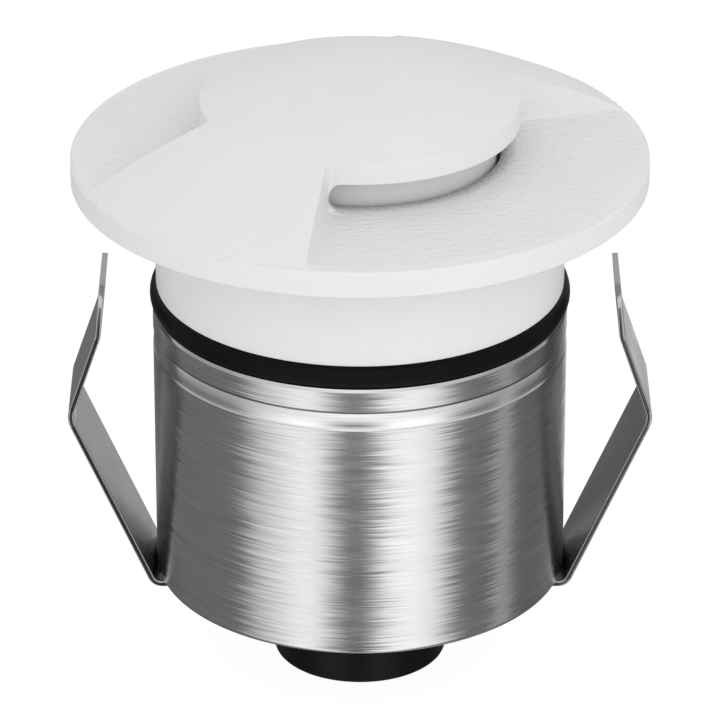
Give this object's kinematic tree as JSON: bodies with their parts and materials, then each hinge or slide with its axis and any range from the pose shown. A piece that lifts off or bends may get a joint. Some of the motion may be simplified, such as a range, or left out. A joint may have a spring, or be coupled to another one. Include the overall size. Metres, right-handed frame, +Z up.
{
  "type": "in ground well light",
  "caption": "Small round recessed ground light with a domed screw-in cover, side windows, a steel housing, spring clip arms and a cable gland.",
  "frame": {"origin": "on the light's axis, at the underside of the cover's flange, which rests on the finished ground", "axes": "+Z up along the light's axis, out of the ground; +X towards the right spring arm; -Y is the side that the picture shows"},
  "size_m": [0.051, 0.05, 0.0556],
  "materials": {
    "powder_coat": "fine textured powder coat",
    "frosted_diffuser": "frosted",
    "clear_silicone": "satin",
    "black_nylon": "moulded, smooth",
    "white_reflector": "moulded, glossy",
    "black_rubber": "moulded, satin",
    "brushed_stainless": "brushed round the axis",
    "turned_aluminium": "turned",
    "white_board": "white solder mask",
    "led_phosphor": "cast silicone with phosphor",
    "zinc_screw": "zinc plated",
    "red_insulation": "extruded",
    "black_insulation": "extruded",
    "green_board": "solder mask",
    "brass_spacer": "turned",
    "capacitor_can": "drawn can",
    "ferrite": "sintered",
    "chip_epoxy": "moulded",
    "spring_steel": "cold rolled"
  },
  "bodies": {
    "body": {"housing": "brushed_stainless", "heat_sink": "turned_aluminium", "led_board": "white_board", "led_chips": "led_phosphor", "led_screws": "zinc_screw", "lead_positive": "red_insulation", "lead_negative": "black_insulation", "driver_board": "green_board", "board_spacers": "brass_spacer", "board_screws": "zinc_screw", "driver_capacitor": "capacitor_can", "driver_inductor": "ferrite", "driver_chips": "chip_epoxy", "gland_body": "black_nylon", "gland_sleeve": "black_rubber", "gland_cap": "black_nylon", "gland_nut": "black_nylon", "gland_washer": "black_rubber", "clip_strap": "spring_steel"},
    "left_arm": {"left_clip_arm": "spring_steel"},
    "right_arm": {"right_clip_arm": "spring_steel"},
    "seal": {"cover_seal": "black_rubber"},
    "top": {"cover": "powder_coat", "diffuser": "frosted_diffuser", "diffuser_gasket": "clear_silicone", "diffuser_ring": "black_nylon", "reflector": "white_reflector"}
  },
  "joints": [
    {"name": "left_clip_flex", "type": "hinge", "parent": "body", "child": "left_arm", "pos_m": [-0.0176, 0, -0.03675], "axis": [0, 1, 0], "range_deg": [0, 7.5], "stiffness_Nm_per_rad": 1.2},
    {"name": "right_clip_flex", "type": "hinge", "parent": "body", "child": "right_arm", "pos_m": [0.0176, 0, -0.03675], "axis": [0, -1, 0], "range_deg": [0, 7.5], "stiffness_Nm_per_rad": 1.2},
    {"name": "cover_lift", "type": "slide", "parent": "body", "child": "seal", "axis": [0, 0, 1], "range_m": [0, 0.00451]},
    {"name": "cover_turn", "type": "hinge", "parent": "seal", "child": "top", "pos_m": [0, 0, 0], "axis": [0, 0, 1], "range_deg": [0, 1080]}
  ],
  "couplings": [
    {"joint": "cover_lift", "follows": "cover_turn", "m_per_rad": 0.00023873}
  ]
}
